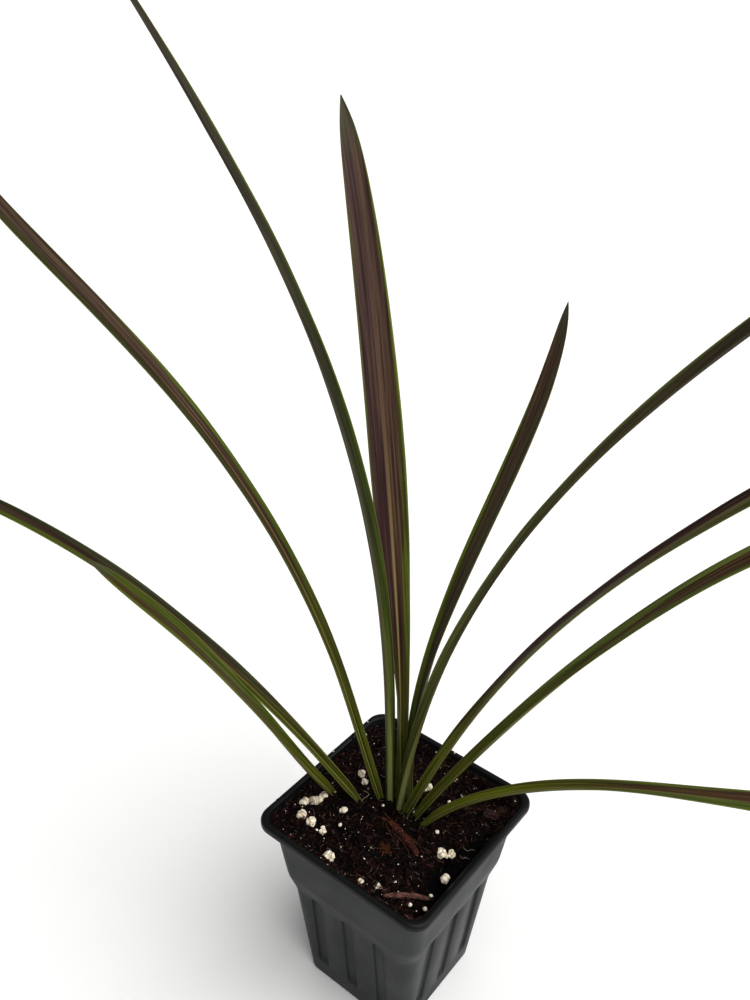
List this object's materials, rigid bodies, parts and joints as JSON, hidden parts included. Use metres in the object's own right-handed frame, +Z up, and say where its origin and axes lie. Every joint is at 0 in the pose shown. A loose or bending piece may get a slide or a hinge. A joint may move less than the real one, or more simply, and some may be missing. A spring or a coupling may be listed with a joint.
{
  "type": "potted ti plant",
  "caption": "Young ti plant with narrow arching strap leaves, standing in soil in a tapered square nursery pot.",
  "frame": {"origin": "middle of the pot's flat base", "axes": "+Z up, X and Y along the pot's sides"},
  "size_m": [0.4465, 0.2472, 0.4388],
  "materials": {
    "pot_plastic": "moulded black polypropylene, satin",
    "potting_soil": "damp peat and fine bark, rough",
    "root": "pale fibrous root skin",
    "leaf": "satin leaf, green with burgundy stripes",
    "perlite": "matt white expanded grains",
    "bark": "rough red-brown bark"
  },
  "bodies": {
    "root": {"pot": "pot_plastic", "soil": "potting_soil", "rootstock": "root", "leaf_01_low_left": "leaf", "leaf_02_left": "leaf", "leaf_03_upper_left": "leaf", "leaf_04_long": "leaf", "leaf_05_broad": "leaf", "leaf_06_short": "leaf", "leaf_07_tall_right": "leaf", "leaf_08_right": "leaf", "leaf_09_lower_right": "leaf", "leaf_10_arching": "leaf", "perlite_01": "perlite", "perlite_02": "perlite", "perlite_03": "perlite", "perlite_04": "perlite", "perlite_05": "perlite", "perlite_06": "perlite", "perlite_07": "perlite", "perlite_08": "perlite", "perlite_09": "perlite", "perlite_10": "perlite", "perlite_11": "perlite", "perlite_12": "perlite", "perlite_13": "perlite", "perlite_14": "perlite", "perlite_15": "perlite", "perlite_16": "perlite", "perlite_17": "perlite", "bark_strip": "bark", "bark_stick": "bark", "bark_chip": "bark"}
  },
  "joints": []
}
